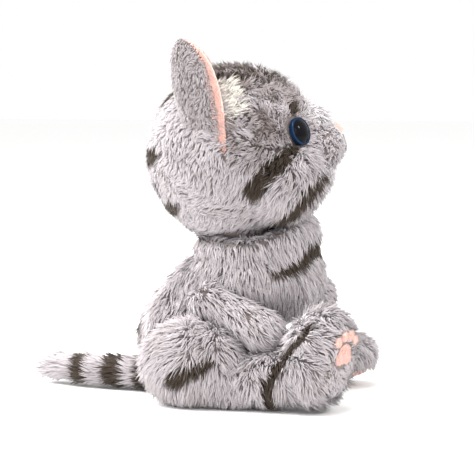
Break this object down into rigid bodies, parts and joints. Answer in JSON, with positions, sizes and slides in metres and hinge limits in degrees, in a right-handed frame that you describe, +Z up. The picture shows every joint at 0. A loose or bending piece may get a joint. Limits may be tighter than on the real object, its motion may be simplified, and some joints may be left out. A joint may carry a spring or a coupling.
{
  "type": "plush cat",
  "caption": "Sitting tabby plush cat with a ball head turned and lifted, cupped ears, safety eyes, stuffed arms, upright feet with sewn pads and a tail on the floor.",
  "frame": {"origin": "on the floor, under the middle of the part's box", "axes": "+Z up, the cat faces -Y, its right side is at -X"},
  "size_m": [0.1144, 0.1703, 0.1752],
  "materials": {
    "tabby_fur": "long soft pile, brushed",
    "short_pile": "short dense pile",
    "pink_plush": "short velour",
    "stuffing": "loose polyester fibre",
    "bag_cloth": "plain woven cotton",
    "pellets": "small round pellets",
    "black_gloss": "polished",
    "blue_gloss": "polished",
    "washer_plastic": "moulded",
    "thread": "stranded thread"
  },
  "bodies": {
    "torso": {"pellet_bag": "bag_cloth", "pellets": "pellets", "torso_back_left": "tabby_fur", "torso_back_right": "tabby_fur", "torso_belly": "tabby_fur", "torso_seat": "tabby_fur", "torso_stuffing": "stuffing"},
    "neck": {"neck_wadding": "stuffing"},
    "head": {"head_chin": "tabby_fur", "head_left_panel": "tabby_fur", "head_right_panel": "tabby_fur", "head_stuffing": "stuffing", "head_top_gusset": "tabby_fur", "left_eye_pupil": "black_gloss", "left_eye_rim": "blue_gloss", "left_eye_washer": "washer_plastic", "mouth_stitches": "thread", "muzzle_panel": "short_pile", "muzzle_stuffing": "stuffing", "nose": "pink_plush", "right_eye_pupil": "black_gloss", "right_eye_rim": "blue_gloss", "right_eye_washer": "washer_plastic"},
    "right_ear": {"right_ear_back": "short_pile", "right_ear_lining": "pink_plush"},
    "left_ear": {"left_ear_back": "short_pile", "left_ear_lining": "pink_plush"},
    "right_arm": {"right_arm_skin": "tabby_fur", "right_arm_stuffing": "stuffing"},
    "left_arm": {"left_arm_skin": "tabby_fur", "left_arm_stuffing": "stuffing"},
    "right_leg": {"right_ankle_skin": "tabby_fur", "right_foot_skin": "tabby_fur", "right_foot_sole": "short_pile", "right_leg_stuffing": "stuffing", "right_paw_pad": "pink_plush", "right_thigh_skin": "tabby_fur", "right_toe_pads": "pink_plush"},
    "left_leg": {"left_ankle_skin": "tabby_fur", "left_foot_skin": "tabby_fur", "left_foot_sole": "short_pile", "left_leg_stuffing": "stuffing", "left_paw_pad": "pink_plush", "left_thigh_skin": "tabby_fur", "left_toe_pads": "pink_plush"},
    "tail": {"tail_skin": "tabby_fur", "tail_stuffing": "stuffing"}
  },
  "joints": [
    {"name": "head_turn", "type": "hinge", "parent": "torso", "child": "neck", "pos_m": [0, -0.019, 0.116], "axis": [0, 0, 1], "range_deg": [-30, 30], "stiffness_Nm_per_rad": 0.06},
    {"name": "head_nod", "type": "hinge", "parent": "neck", "child": "head", "pos_m": [0, -0.019, 0.116], "axis": [0.9659, 0.2588, 0], "range_deg": [-12, 14], "stiffness_Nm_per_rad": 0.08},
    {"name": "right_ear_fold", "type": "hinge", "parent": "head", "child": "right_ear", "pos_m": [-0.0285, -0.00827, 0.12886], "axis": [0.9571, 0.2631, 0.1217], "range_deg": [-14, 10], "stiffness_Nm_per_rad": 0.01},
    {"name": "left_ear_fold", "type": "hinge", "parent": "head", "child": "left_ear", "pos_m": [0.01932, 0.00454, 0.12886], "axis": [0.9604, 0.2507, -0.1217], "range_deg": [-14, 10], "stiffness_Nm_per_rad": 0.01},
    {"name": "right_arm_swing", "type": "hinge", "parent": "torso", "child": "right_arm", "pos_m": [-0.0264, -0.013, 0.053], "axis": [-1, 0, 0], "range_deg": [-5, 70], "stiffness_Nm_per_rad": 0.02},
    {"name": "left_arm_swing", "type": "hinge", "parent": "torso", "child": "left_arm", "pos_m": [0.0264, -0.013, 0.053], "axis": [-1, 0, 0], "range_deg": [-10, 70], "stiffness_Nm_per_rad": 0.02},
    {"name": "right_leg_swing", "type": "hinge", "parent": "torso", "child": "right_leg", "pos_m": [-0.0264, -0.002, 0.0212], "axis": [-1, 0, 0], "range_deg": [-5, 2], "stiffness_Nm_per_rad": 0.08},
    {"name": "left_leg_swing", "type": "hinge", "parent": "torso", "child": "left_leg", "pos_m": [0.0264, -0.002, 0.0212], "axis": [-1, 0, 0], "range_deg": [-5, 10], "stiffness_Nm_per_rad": 0.08},
    {"name": "tail_swing", "type": "hinge", "parent": "torso", "child": "tail", "pos_m": [0, 0.026, 0.0069], "axis": [0, 0, 1], "range_deg": [-30, 30], "stiffness_Nm_per_rad": 0.01}
  ]
}
